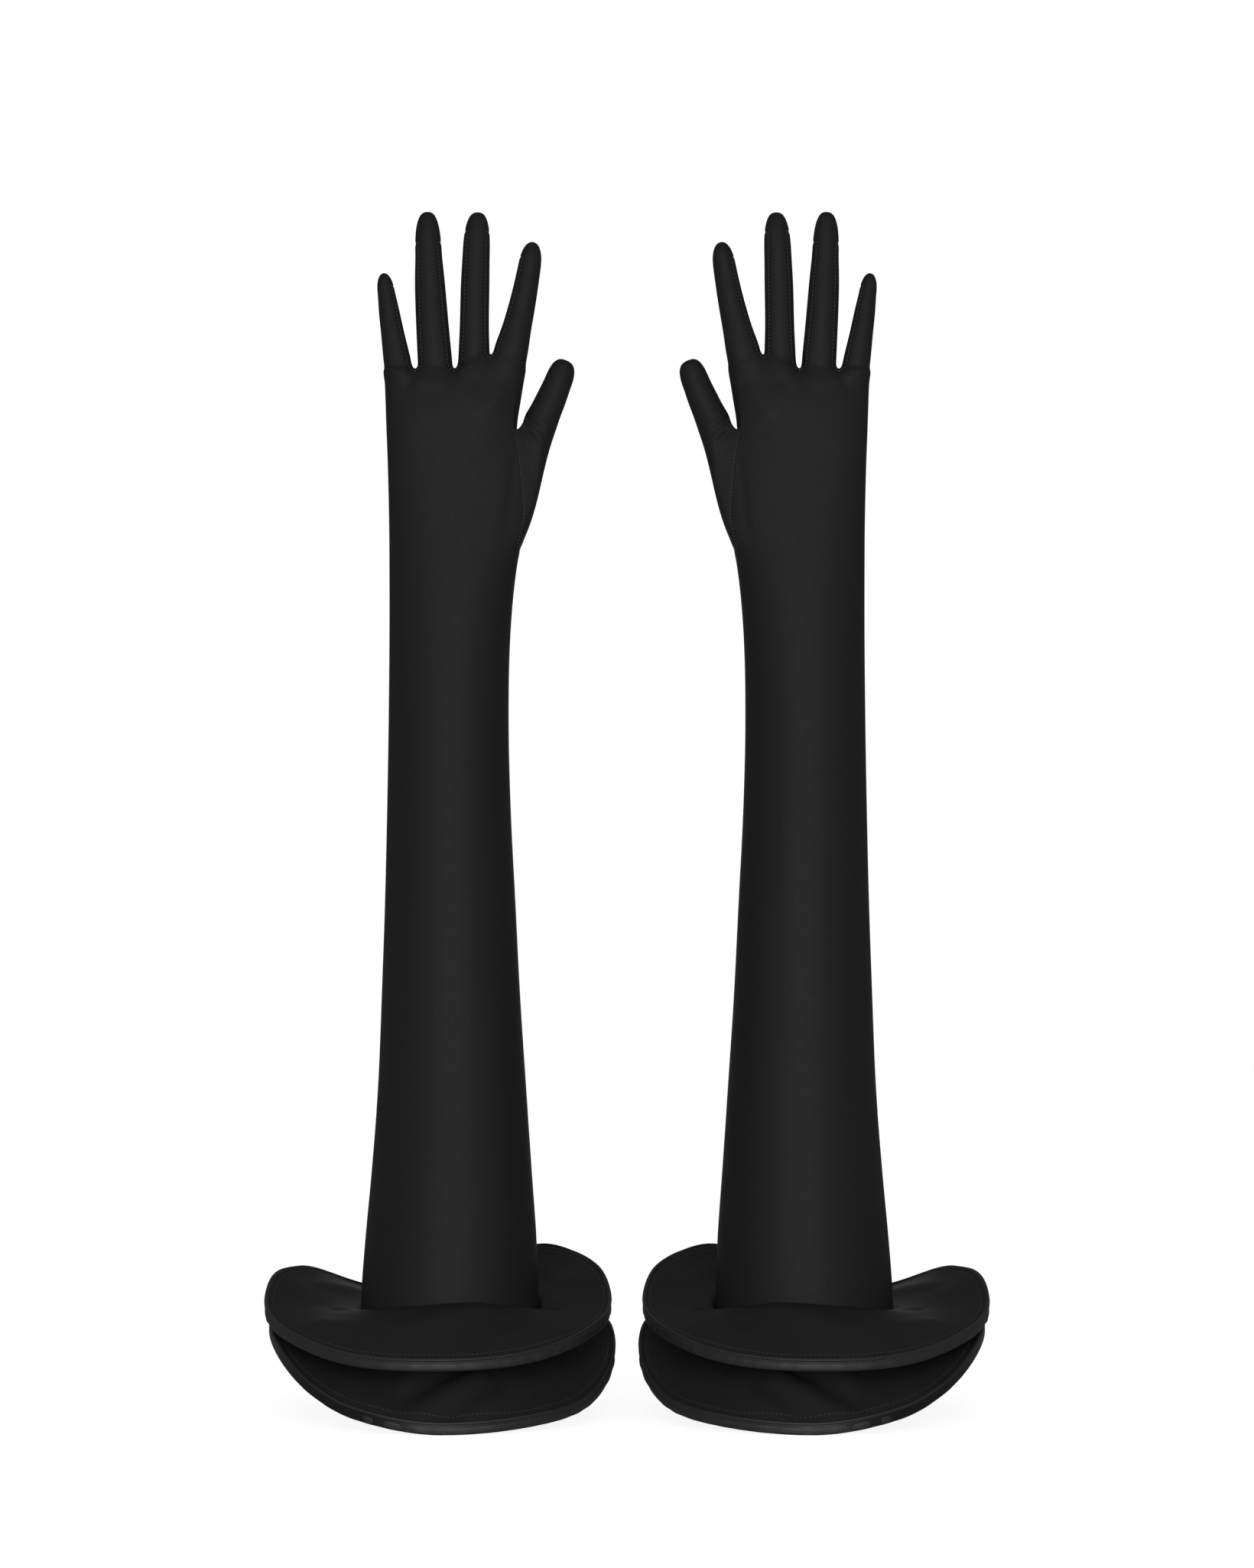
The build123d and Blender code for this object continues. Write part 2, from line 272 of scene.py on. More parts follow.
def webRing():
    # the top of the hand, where the fingers part
    columns = fingerColumns()
    corners = [0, *range(4, across, 4), across]
    heights = np.interp(columns, [columns[c] for c in corners],
                        [knuckles["height"][0], *webs["height"], knuckles["height"][1]])  # fmt: skip
    deep = np.full(across + 1, knuckles["halfDepth"])
    deep[[c + step for c in corners[:-1] for step in (1, 3)]] -= 0.35
    deep[corners] = webs["halfDepth"]
    deep[[0, across]] = knuckles["cornerDepth"]
    front = np.stack([columns, -deep, heights], axis=1)
    back = np.stack([columns, deep, heights], axis=1)[::-1]
    side = []
    for end, turn in ((1, 1), (0, -1)):
        x, height, reach = knuckles["x"][end], knuckles["height"][end], knuckles["cornerDepth"] / 2
        rounded = x - turn * 0.45
        side.append([(rounded, -turn * reach, height), (x, 0, height), (rounded, turn * reach, height)])
    return np.concatenate([front, side[0], back, side[1]])


handOrder = {  # columns of a hand ring, in order over the back of the hand and over the palm
    "back": [38, 39, *range(17), 17, 18],
    "palm": [18, 19, *range(20, 37), 37, 38],
}
fingerOrder = {"back": [14, 15, 0, 1, 2, 3, 4, 5, 6], "palm": list(range(6, 15))}
stripOrder = {1: [4, 5, 6, 7, 8], -1: [12, 13, 14, 15, 0]}
handPanels = ["back"] * 18 + ["palm"] * 20 + ["back"] * 2
fingerPanels = ["back"] * 6 + ["palm"] * 8 + ["back"] * 2


def buildHand(cage):
    low, high = sleeve["stations"][0][0], thumb["seam"][0]
    heights = list(np.linspace(low, high, round((high - low) / sleeve["ringSpacing"]) + 1))
    rowsStart = len(heights) - 1
    heights += [*np.linspace(*thumb["seam"], thumb["rows"] + 1)[1:], *sleeve["upperRings"]]
    rings = [cage.add(handRing(height)) for height in heights]
    rings.append(cage.add(webRing()))
    heights.append(webs["height"][0])
    for ring, height in zip(rings, heights):
        for panel, order in handOrder.items():
            cage.layFlat([ring[i] for i in order], panel, 10, height)
    opening = range(rowsStart, rowsStart + thumb["rows"])
    for i, (lower, upper) in enumerate(zip(rings, rings[1:])):
        pieces = [f"{panel}_panel" for panel in handPanels]
        if i in opening:
            pieces[across : across + aside] = [None] * aside
        cage.band(lower, upper, handPanels, pieces)
    return rings, rings[rowsStart : rowsStart + thumb["rows"] + 1]


def neighbours(name):
    order = list(fingers)
    place = order.index(name)
    return {turn: order[place + turn] for turn in (-1, 1) if 0 <= place + turn < len(order)}


def buildFinger(cage, name, place, topRing, webRows):
    shape = fingers[name]
    base, along, cross, halfDepth = fingerFrame(name)
    depthShare = halfDepth / shape["halfWidths"][0][1]
    right = webRows[place] if place < 3 else topRing[across + 1 : across + aside]
    left = webRows[place - 1][::-1] if place else topRing[2 * across + aside + 1 :]
    backEnd = 2 * across + aside - 4 * place
    first = [*topRing[4 * place : 4 * place + 5], *right, *topRing[backEnd - 4 : backEnd + 1], *left]
    rings, places = [first], [0.0]
    angles = np.radians(225 + 22.5 * np.arange(16))
    for t in stallPlaces(shape):
        half = stallHalfWidth(shape, t)
        bow = shape["bow"] * math.sin(math.pi * np.clip(t / shape["length"], 0, 1))
        square = 1 - 0.12 * (1 - smoothStep(t, 0, 25))
        x = signedPower(np.cos(angles), square) * half
        y = signedPower(np.sin(angles), square) * half * depthShare
        points = base + along * t + cross * bow + np.outer(x, cross) + np.outer(y, (0, 1, 0))
        if t == shape["start"]:
            rise = points[:, 2] - np.array([cage.points[i][2] for i in first])
            root = points - np.outer(np.maximum(rise - webRadius, 0.3) / along[2], along)
            rings.append(cage.add(root))
            places.append(t - 0.5 * float(rise.mean()))
        rings.append(cage.add(points))
        places.append(t)
    shift = cage.flat[topRing[4 * place + 2], "back"][0] / mm
    shiftPalm = cage.flat[topRing[backEnd - 2], "palm"][0] / mm
    strips = neighbours(name)
    for ring, t in zip(rings, places):
        level = base[2] + t
        if ring is not first:
            cage.layFlat([ring[i] for i in fingerOrder["back"]], "back", 4, level, shift)
            cage.layFlat([ring[i] for i in fingerOrder["palm"]], "palm", 4, level, shiftPalm)
        for turn in strips:
            cage.layFlat([ring[i] for i in stripOrder[turn]], "strip", 2, level, 40.0 * turn + 100 * place)
            for i in stripOrder[turn]:
                cage.flat[ring[i], f"strip{turn}"] = cage.flat[ring[i], "strip"]
    stall = f"{name}_finger_stall"
    for i, (lower, upper) in enumerate(zip(rings, rings[1:])):
        panels, pieces = list(fingerPanels), [stall] * 16
        if places[i + 1] <= fourchetteReach * shape["length"]:
            for turn, other in strips.items():
                for j in stripOrder[turn][:-1]:
                    panels[j], pieces[j] = f"strip{turn}", f"{name}_fourchette_facing_{other}"
        cage.band(lower, upper, panels, pieces)
    pole = cage.add([base + along * shape["length"]])[0]
    for panel, around in (("back", shift), ("palm", shiftPalm)):
        cage.flat[pole, panel] = (around * mm, (base[2] + shape["length"]) * mm)
    cage.close(rings[-1], pole, fingerPanels, [stall] * 16)


def buildThumb(cage, rows):
    shape = thumb
    lean = math.radians(shape["lean"])
    along = np.array([math.sin(lean), 0, math.cos(lean)])
    cross = np.array([math.cos(lean), 0, -math.sin(lean)])
    base = np.array([shape["base"][0], 0, shape["base"][1]])
    top, bottom = rows[-1], rows[0]
    side = rows[1:-1][::-1]
    loop = [top[18], top[17], top[16], *(row[16] for row in side), bottom[16], bottom[17], bottom[18],
            bottom[19], bottom[20], *(row[20] for row in side[::-1]), top[20], top[19]]  # fmt: skip
    count = len(loop)
    turns = 2 * math.pi * np.arange(count) / count

    def ringAt(t):
        half = stallHalfWidth(shape, t)
        bow = shape["bow"] * math.sin(math.pi * np.clip(t / shape["length"], 0, 1))
        x, y = -np.cos(turns) * half, -np.sin(turns) * half * shape["depthShare"]
        return base + along * t + cross * bow + np.outer(x, cross) + np.outer(y, (0, 1, 0))

    start, end = np.array([cage.points[i] for i in loop]), ringAt(shape["start"])
    share = (start[:, 2] - shape["seam"][0]) / (shape["seam"][1] - shape["seam"][0])
    outwards, upwards = (np.interp(share, (0, 0.5, 1), ways) for ways in zip(*shape["leaving"]))
    narrowing = -shape["narrowing"] * start[:, 1] / np.abs(start[:, 1]).max()
    leaving = np.stack([outwards, narrowing, upwards], axis=1)
    length = np.linalg.norm(end - start, axis=1)[:, None]
    rings, levels = [loop], [shape["seam"][0]]
    for i in range(1, shape["rings"]):
        s = i / shape["rings"]
        rings.append(cage.add(ease(start, leaving * length, end, along * length, s)))
        levels.append(shape["seam"][0] + (base[2] - shape["seam"][0]) * s)
    gussetRings = len(rings)
    for t in stallPlaces(shape):
        rings.append(cage.add(ringAt(t)))
        levels.append(base[2] + t)
    half = count // 2
    for ring, level in zip(rings, levels):
        cage.layFlat(ring[: half + 1], "thumbBack", half // 2, level)
        cage.layFlat(ring[half:] + ring[:1], "thumbPalm", half // 2, level)
    panels = ["thumbBack"] * half + ["thumbPalm"] * half
    for i, (lower, upper) in enumerate(zip(rings, rings[1:])):
        cage.band(lower, upper, panels, ["thumb_gusset" if i < gussetRings else "thumb_stall"] * count)
    pole = cage.add([base + along * shape["length"]])[0]
    for panel in ("thumbBack", "thumbPalm"):
        cage.flat[pole, panel] = (0.0, (base[2] + shape["length"]) * mm)
    cage.close(rings[-1], pole, panels, ["thumb_stall"] * count)


def pointNormals(points, faces):
    normals = np.zeros_like(points)
    a, b, c, d = (points[faces[:, corner]] for corner in range(4))
    perFace = np.cross(c - a, d - b)
    for corner in range(faces.shape[1]):
        np.add.at(normals, faces[:, corner], perFace)
    return normals / np.maximum(np.linalg.norm(normals, axis=1), 1e-12)[:, None]


def fromSegment(points, start, end):
    # distance from points to a segment
    start, end = np.array(start, float), np.array(end, float)
    way = end - start
    t = np.clip((points - start) @ way / (way @ way), 0, 1)
    return np.linalg.norm(points - start - t[:, None] * way, axis=1)


def gloveSkin():
    cage = Cage()
    rings, rows = buildHand(cage)
    topRing = rings[-1]
    webRows = []
    for x, height in zip(webs["x"], webs["height"]):
        deep = webs["halfDepth"] * np.array([-0.5, 0, 0.5])
        webRows.append(cage.add([(x, y, height + 0.5 * (1 - (y / webs["halfDepth"]) ** 2)) for y in deep]))
    for place, name in enumerate(fingers):
        buildFinger(cage, name, place, topRing, webRows)
    buildThumb(cage, rows)

    pieceNames = sorted({piece for piece, _ in cage.pieces})
    panelNames = sorted({panel.rstrip("-1") for _, panel in cage.pieces})
    mesh = bpy.data.meshes.new("gloveCage")
    mesh.from_pydata(cage.points, [], cage.faces)
    layer = mesh.uv_layers.new(name="pattern")
    spots = [cage.flat[v, panel] for face, (_, panel) in zip(cage.faces, cage.pieces) for v in face]
    layer.data.foreach_set("uv", np.array(spots, np.float32).ravel())
    for label, values in (
        ("piece", [pieceNames.index(piece) for piece, _ in cage.pieces]),
        ("panel", [panelNames.index(panel.rstrip("-1")) for _, panel in cage.pieces]),
    ):
        mesh.attributes.new(label, "INT", "FACE").data.foreach_set("value", values)
    holder = bpy.data.objects.new("gloveCage", mesh)
    bpy.context.collection.objects.link(holder)
    smooth = holder.modifiers.new("smooth", "SUBSURF")
    smooth.levels = smooth.render_levels = 2
    fine = bpy.data.meshes.new_from_object(holder.evaluated_get(bpy.context.evaluated_depsgraph_get()))
    bpy.data.objects.remove(holder)

    def read(data, field, kind, width):
        values = np.zeros(len(data) * width, kind)
        data.foreach_get(field, values)
        return values.reshape(-1, width) if width > 1 else values

    points = read(fine.vertices, "co", np.float32, 3).astype(float)
    faces = read(fine.loops, "vertex_index", np.int32, 1).reshape(-1, 4)
    uvs = read(fine.uv_layers[0].data, "uv", np.float32, 2).reshape(-1, 4, 2)
    piece = read(fine.attributes["piece"].data, "value", np.int32, 1)
    panel = read(fine.attributes["panel"].data, "value", np.int32, 1)
    bpy.data.meshes.remove(fine)

    normals = pointNormals(points, faces)
    facing = smoothStep(-normals[:, 1], 0.05, 0.5)
    for start, end, width, height in features.values():
        away = fromSegment(points[:, [0, 2]], start, end)
        points += normals * (height * np.exp(-((away / width) ** 2)) * facing)[:, None]
    seamClass = np.where(panel == panelNames.index("thumbPalm"), panelNames.index("thumbBack"), panel)
    touched = np.zeros((len(points), len(panelNames)), bool)
    for corner in range(4):
        touched[faces[:, corner], seamClass] = True
    seam = touched.sum(axis=1) > 1
    points[seam] -= normals[seam] * seamGroove
    return {
        "points": points, "faces": faces, "uvs": uvs, "normals": pointNormals(points, faces),
        "pieces": {name: piece == i for i, name in enumerate(pieceNames)},
    }  # fmt: skip


def place(points, side):
    return np.stack([sleeveAxis[side] + sides[side] * points[:, 0], points[:, 1], points[:, 2]], axis=1) * mm


def clothPiece(name, side, points, normals, faces, uvs, wall):
    # a skin given its thickness inwards, and placed for one side
    used, faces = np.unique(faces, return_inverse=True)
    faces = faces.reshape(uvs.shape[:2])
    points, normals = points[used], normals[used]
    count, corners = len(points), faces.shape[1]
    edges = np.stack([faces, np.roll(faces, -1, axis=1)], axis=-1).reshape(-1, 2)
    keys, back = edges[:, 0] * count + edges[:, 1], edges[:, 1] * count + edges[:, 0]
    open_ = edges[~np.isin(keys, back)]
    rim = np.stack([open_[:, 1], open_[:, 0], open_[:, 0] + count, open_[:, 1] + count], axis=1)
    spot = np.zeros((count, 2))
    spot[faces.ravel()] = uvs.reshape(-1, 2)
    inner = faces[:, ::-1] + count
    allUvs = np.concatenate([layer.reshape(-1, 2) for layer in (uvs, uvs[:, ::-1], spot[rim % count])])
    both = np.concatenate([points, points - normals * wall])
    turned = np.concatenate([normals, -normals])
    turned[:, 0] *= sides[side]
    allFaces = faces.tolist() + inner.tolist() + rim.tolist()
    if sides[side] < 0:
        allFaces = [face[::-1] for face in allFaces]
        lengths = [corners] * (2 * len(faces)) + [4] * len(rim)
        starts = np.concatenate([[0], np.cumsum(lengths)])
        order = np.concatenate([np.arange(a, b)[::-1] for a, b in zip(starts, starts[1:])])
        allUvs = allUvs[order]
    mesh = bpy.data.meshes.new(name)
    mesh.from_pydata(place(both, side).tolist(), [], allFaces)
    mesh.uv_layers.new(name="pattern").data.foreach_set("uv", allUvs.astype(np.float32).ravel())
    mesh.polygons.foreach_set("use_smooth", np.ones(len(allFaces), bool))
    mesh.normals_split_custom_set_from_vertices(turned.tolist())
    piece = bpy.data.objects.new(name, mesh)
    bpy.context.collection.objects.link(piece)
    return piece


# ---- flounces and their bound rims

flounce = {
    "sewnRadius": 45.0, "bindingThickness": 2.2, "wall": 1.1, "turns": 240, "rows": 30, "droop": 1.4,
    "tuck": (2.6, 0.055),  # how far the sewn edge turns down, and over what share of the width
    "upper": {
        "reach": (88.2, 5.8),  # of the rim, and how much more of it lies away from the thumb
        "rim": ((-90, 38), (-60, 40.5), (-30, 49), (0, 59), (25, 73), (57, 80), (95, 46), (123, 59.5),
                (150, 71), (166, 69.5), (185, 58), (212, 48), (240, 39.5)),
        "seam": ((-90, 61.5), (-50, 59.5), (-12, 55), (30, 60), (60, 60), (95, 50), (135, 52.5), (185, 54),
                 (225, 57.5)),
        "folds": (  # from and to (x, y), width and height
            ((-17, -69), (16, -50), 9.0, 2.6), ((28, -68), (49, -61), 7.0, 1.5),
            ((14, -76), (34, -60), 6.0, -0.7), ((-64, -42), (-46, -54), 6.0, 1.3),
            ((-42, -68), (-26, -54), 5.0, -0.7), ((60, 30), (46, 52), 7.0, 1.4),
            ((-50, 50), (-66, 34), 7.0, 1.2), ((-8, 62), (14, 70), 7.0, -1.2),
            ((47, -8), (55, -4), 3.2, 2.4), ((48, -16), (54, -14), 3.0, -1.4),
            ((-47, -14), (-56, -10), 4.0, -1.4),
        ),
    },
    "lower": {
        "reach": (87.9, 3.5),
        "rim": ((-90, 6.5), (-60, 9), (-35, 14.5), (-15, 26), (0, 36), (15, 45), (32, 48), (60, 29),
                (90, 6.5), (120, 24), (148, 44), (168, 51.5), (180, 50.5), (200, 39.5), (222, 23), (240, 13)),
        "seam": ((-90, 40.5), (-30, 40), (90, 40), (180, 40)),
        "folds": (
            ((-14, -85), (18, -65), 4.6, 2.5), ((-22, -77), (12, -58), 4.0, -2.2),
            ((-20, -67), (8, -51), 4.2, 2.0), ((14, -83), (38, -60), 5.5, 1.6),
            ((2, -84), (26, -66), 4.0, -1.4), ((-50, -62), (-34, -72), 6.0, 0.9),
            ((34, -74), (58, -50), 6.0, -1.6), ((50, 40), (66, 30), 7.0, 1.2),
            ((-40, 56), (-56, 44), 7.0, 1.4),
        ),
    },
}  # fmt: skip


def aroundRim(stations, angles):
    # height at each angle; a rim's highest and lowest points are its stations
    table = np.array(stations, float)
    table = np.concatenate([table[-2:] - (360, 0), table, table[:2] + (360, 0)])
    places, heights = table[:, 0], table[:, 1]
    before, after = np.diff(heights)[:-1], np.diff(heights)[1:]
    slopes = np.zeros(len(places))
    slopes[1:-1] = np.where(before * after > 0, (heights[2:] - heights[:-2]) / (places[2:] - places[:-2]), 0)
    angles = (np.asarray(angles, float) + 90) % 360 - 90
    spot = np.clip(np.searchsorted(places, angles, side="right") - 1, 0, len(places) - 2)
    span = places[spot + 1] - places[spot]
    t = (angles - places[spot]) / span
    return ease(heights[spot], slopes[spot] * span, heights[spot + 1], slopes[spot + 1] * span, t)


def rimReach(tier, angles):
    radius, shift = flounce[tier]["reach"]
    return radius - shift * np.cos(np.radians(angles))


def flounceSurface(tier, angles, shares):
    # points of a tier at angles and shares of the way from the sleeve to the binding
    shape = flounce[tier]
    inner = flounce["sewnRadius"]
    out = inner + (rimReach(tier, angles) - flounce["bindingThickness"] * 0.5 - inner) * shares
    seam, rim = aroundRim(shape["seam"], angles), aroundRim(shape["rim"], angles) - 0.9
    x, y = out * np.cos(np.radians(angles)), out * np.sin(np.radians(angles))
    tuck, extent = flounce["tuck"]
    height = seam + (rim - seam) * shares ** flounce["droop"] - tuck * np.exp(-((shares / extent) ** 2))
    settle = np.sin(np.pi * np.clip(shares, 0, 1)) ** 0.5
    for start, end, width, lift in shape["folds"]:
        away = fromSegment(np.stack([x, y], axis=-1).reshape(-1, 2), start, end)
        height = height + lift * np.exp(-((away.reshape(x.shape) / width) ** 2)) * settle
    return np.stack([x, y, height], axis=-1)


def ringFaces(rows, turns):
    i, j = np.meshgrid(np.arange(rows - 1), np.arange(turns), indexing="ij")
    k = (j + 1) % turns
    corners = [i * turns + j, (i + 1) * turns + j, (i + 1) * turns + k, i * turns + k]
    return np.stack(corners, axis=-1).reshape(-1, 4)


def makeFlounce(tier, side):
    turns, rows = flounce["turns"], flounce["rows"]
    angles, shares = np.meshgrid(360 * np.arange(turns) / turns - 90, np.linspace(0, 1, rows) ** 1.25)
    points = flounceSurface(tier, angles, shares).reshape(-1, 3)
    faces = ringFaces(rows, turns)
    uvs = points[faces][:, :, :2] * mm
    name = f"{side}_{tier}_flounce"
    normals = pointNormals(points, faces)
    piece = clothPiece(f"{name}_cloth", side, points, normals, faces, uvs, flounce["wall"])
    piece.data.materials.append(flounceKnit)
    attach(piece, f"{side}_glove")
    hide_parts(name)


binding = {
    "turns": 300,
    "profile": (  # out from the rim's face and up from its top edge, round the folded tape
        (-2.2, -5.9), (-1.7, -6.5), (-0.6, -6.5), (-0.12, -6.15), (0.06, -5.2), (0.1, -4.2), (0.05, -3.2),
        (-0.12, -2.45), (-0.62, -2.05), (-0.3, -1.75), (0.18, -1.45), (0.34, -0.95), (0.2, -0.4),
        (-0.2, -0.02), (-0.75, 0.12), (-1.3, -0.08), (-1.65, -0.6), (-1.8, -1.3), (-2.15, -2.2),
        (-2.25, -4.0),
    ),
    "ripple": 0.16,  # how far the tape puckers between stitches
    "seed": 4,
    "groove": (-0.36, -1.95),  # where the stitches lie
}  # fmt: skip
elastic = {"outer": 44.2, "inner": 43.0, "low": 39.4, "high": 53.4, "ribs": 7, "ribDepth": 0.35,
           "turns": 144}  # fmt: skip


def loftedRing(name, side, rows, material):
    # a closed ring from rows of points, one row for each corner of its section
    rows = np.array(rows)
    count, turns = rows.shape[:2]
    faces = ringFaces(count + 1, turns)[:, ::-1] % (count * turns)
    around = np.concatenate([rows, rows[:1]])
    along = np.concatenate([[0], np.cumsum(np.linalg.norm(np.diff(around[:, 0], axis=0), axis=1))])
    girth = 2 * math.pi * np.linalg.norm(rows[0, 0, :2])
    i, j = np.meshgrid(np.arange(count), np.arange(turns), indexing="ij")
    corners = [(i, j + 1), (i + 1, j + 1), (i + 1, j), (i, j)]
    uvs = np.stack([np.stack([b / turns * girth, along[a]], axis=-1) for a, b in corners], axis=-2) * mm
    uvs = uvs.reshape(-1, 4, 2)
    if sides[side] < 0:
        faces, uvs = faces[:, ::-1], uvs[:, ::-1]
    mesh = bpy.data.meshes.new(name)
    mesh.from_pydata(place(rows.reshape(-1, 3), side).tolist(), [], faces.tolist())
    mesh.uv_layers.new(name="pattern").data.foreach_set("uv", uvs.astype(np.float32).ravel())
    mesh.polygons.foreach_set("use_smooth", np.ones(len(faces), bool))
    mesh.materials.append(material)
    piece = bpy.data.objects.new(name, mesh)
    bpy.context.collection.objects.link(piece)
    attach(piece, f"{side}_glove")
    return piece


def aroundAxis(radius, angles, height):
    turn = np.radians(angles)
    height = np.broadcast_to(height, turn.shape)
    return np.stack([radius * np.cos(turn), radius * np.sin(turn), height], axis=1)


def makeBinding(tier, side):
    angles = 360 * np.arange(binding["turns"]) / binding["turns"] - 90
    chance = np.random.default_rng(binding["seed"] + (tier == "lower"))
    waves = [(round(beat), chance.uniform(0, 6.28)) for beat in chance.uniform(30, 75, 6)]
    pucker = sum(np.sin(np.radians(angles * beat) + phase) for beat, phase in waves) * binding["ripple"] / 2.5
    level, reach = aroundRim(flounce[tier]["rim"], angles), rimReach(tier, angles)
    rows = []
    for out, up in binding["profile"]:
        facing = min(1, -up / 3) if out > -0.7 and up < -2.4 else 0
        rows.append(aroundAxis(reach + out + pucker * facing, angles, level + up))
    name = f"{side}_{tier}_rim_binding"
    piece = loftedRing(f"{name}_tape", side, rows, bindingTapeWithPaintedLight)
    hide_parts(name)


def makeElastic(side):
    angles = 360 * np.arange(elastic["turns"]) / elastic["turns"]
    low, high, ribs = elastic["low"], elastic["high"], elastic["ribs"]
    steps = 4 * ribs
    rows = [aroundAxis(elastic["outer"], angles, height) for height in np.linspace(low, high, 8)]
    for step in range(steps + 1):
        hollow = elastic["ribDepth"] * (1 - math.cos(2 * math.pi * step / 4)) / 2
        rows.append(aroundAxis(elastic["inner"] + hollow, angles, high - (high - low) * step / steps))
    name = f"{side}_opening_elastic"
    piece = loftedRing(f"{name}_band", side, rows, ribbedElastic)
    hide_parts(name)


# ---- stitches, by Geometry Nodes along a path

stitch = {  # pitch, length and thickness
    "rim": (2.4, 1.7, 0.3),
    "welt": (1.7, 1.25, 0.4),
    "seam": (1.9, 1.4, 0.36),
}
rimRow = {"steps": 720, "share": 0.935, "lift": 0.12}  # on the flounce, inside its binding
seamLift = {"thumb": 0.28, "finger": 0.3}


def addNode(tree, kind, settings=None, inputs=None, links=None):
    node = tree.nodes.new(kind)
    for key, value in (settings or {}).items():
        setattr(node, key, value)
    for key, value in (inputs or {}).items():
        node.inputs[key].default_value = value
    for key, source in (links or {}).items():
        tree.links.new(source, node.inputs[key])
    return node


def stitchTree():
    tree = bpy.data.node_groups.new("stitchesAlongPath", "GeometryNodeTree")
    face = tree.interface
    face.new_socket("Geometry", in_out="INPUT", socket_type="NodeSocketGeometry")
    face.new_socket("Geometry", in_out="OUTPUT", socket_type="NodeSocketGeometry")
    sockets = {}
    for label, start in (("Pitch", 0.0025), ("Stitch Length", 0.0018), ("Thread Thickness", 0.0004)):
        socket = face.new_socket(label, in_out="INPUT", socket_type="NodeSocketFloat")
        socket.default_value = start
        sockets[label] = socket.identifier
    socket = face.new_socket("Thread", in_out="INPUT", socket_type="NodeSocketMaterial")
    sockets["Thread"] = socket.identifier
    given = addNode(tree, "NodeGroupInput")
    line = addNode(tree, "GeometryNodeResampleCurve", {"mode": "LENGTH"},
                   links={"Curve": given.outputs["Geometry"], "Length": given.outputs["Pitch"]})  # fmt: skip
    tangent = addNode(tree, "GeometryNodeInputTangent")
    turn = addNode(tree, "FunctionNodeAlignRotationToVector", {"axis": "X"},
                   links={"Vector": tangent.outputs[0]})  # fmt: skip
    ball = addNode(tree, "GeometryNodeMeshUVSphere", inputs={"Segments": 6, "Rings": 5, "Radius": 0.5})
    smooth = addNode(tree, "GeometryNodeSetShadeSmooth", links={"Geometry": ball.outputs["Mesh"]})
    size = addNode(tree, "ShaderNodeCombineXYZ", links={
        "X": given.outputs["Stitch Length"], "Y": given.outputs["Thread Thickness"],
        "Z": given.outputs["Thread Thickness"]})  # fmt: skip
    laid = addNode(tree, "GeometryNodeInstanceOnPoints", links={
        "Points": line.outputs["Curve"], "Instance": smooth.outputs["Geometry"],
        "Rotation": turn.outputs["Rotation"], "Scale": size.outputs["Vector"]})  # fmt: skip
    real = addNode(tree, "GeometryNodeRealizeInstances", links={"Geometry": laid.outputs["Instances"]})
    painted = addNode(tree, "GeometryNodeSetMaterial", links={
        "Geometry": real.outputs["Geometry"], "Material": given.outputs["Thread"]})  # fmt: skip
    result = addNode(tree, "NodeGroupOutput")
    tree.links.new(painted.outputs["Geometry"], result.inputs["Geometry"])
    return tree, sockets


def sewPaths(name, side, paths, kind, closed=False):
    # a row of stitches along each path, as one plain mesh
    curve = bpy.data.curves.new(name, "CURVE")
    curve.dimensions = "3D"
    for path in paths:
        spline = curve.splines.new("POLY")
        spline.points.add(len(path) - 1)
        spots = np.concatenate([place(np.array(path), side), np.ones((len(path), 1))], axis=1)
        spline.points.foreach_set("co", spots.ravel())
        spline.use_cyclic_u = closed
    holder = bpy.data.objects.new(f"{name}Path", curve)
    bpy.context.collection.objects.link(holder)
    sew = holder.modifiers.new("stitches", "NODES")
    sew.node_group = stitches
    for label, value in zip(("Pitch", "Stitch Length", "Thread Thickness"), stitch[kind]):
        sew[stitchSockets[label]] = value * mm
    sew[stitchSockets["Thread"]] = thread
    mesh = bpy.data.meshes.new_from_object(holder.evaluated_get(bpy.context.evaluated_depsgraph_get()))
    bpy.data.objects.remove(holder)
    mesh.name = name
    piece = bpy.data.objects.new(name, mesh)
    bpy.context.collection.objects.link(piece)
    return piece


def seamPath(first, second, order, lift):
    # points along the seam between two pieces, put in order and lifted off the cloth
    shared = np.intersect1d(skin["faces"][skin["pieces"][first]], skin["faces"][skin["pieces"][second]])
    points, normals = skin["points"][shared], skin["normals"][shared]
    ranks = order(points)
    kept = np.isfinite(ranks)
    return (points + normals * lift)[kept][np.argsort(ranks[kept])]


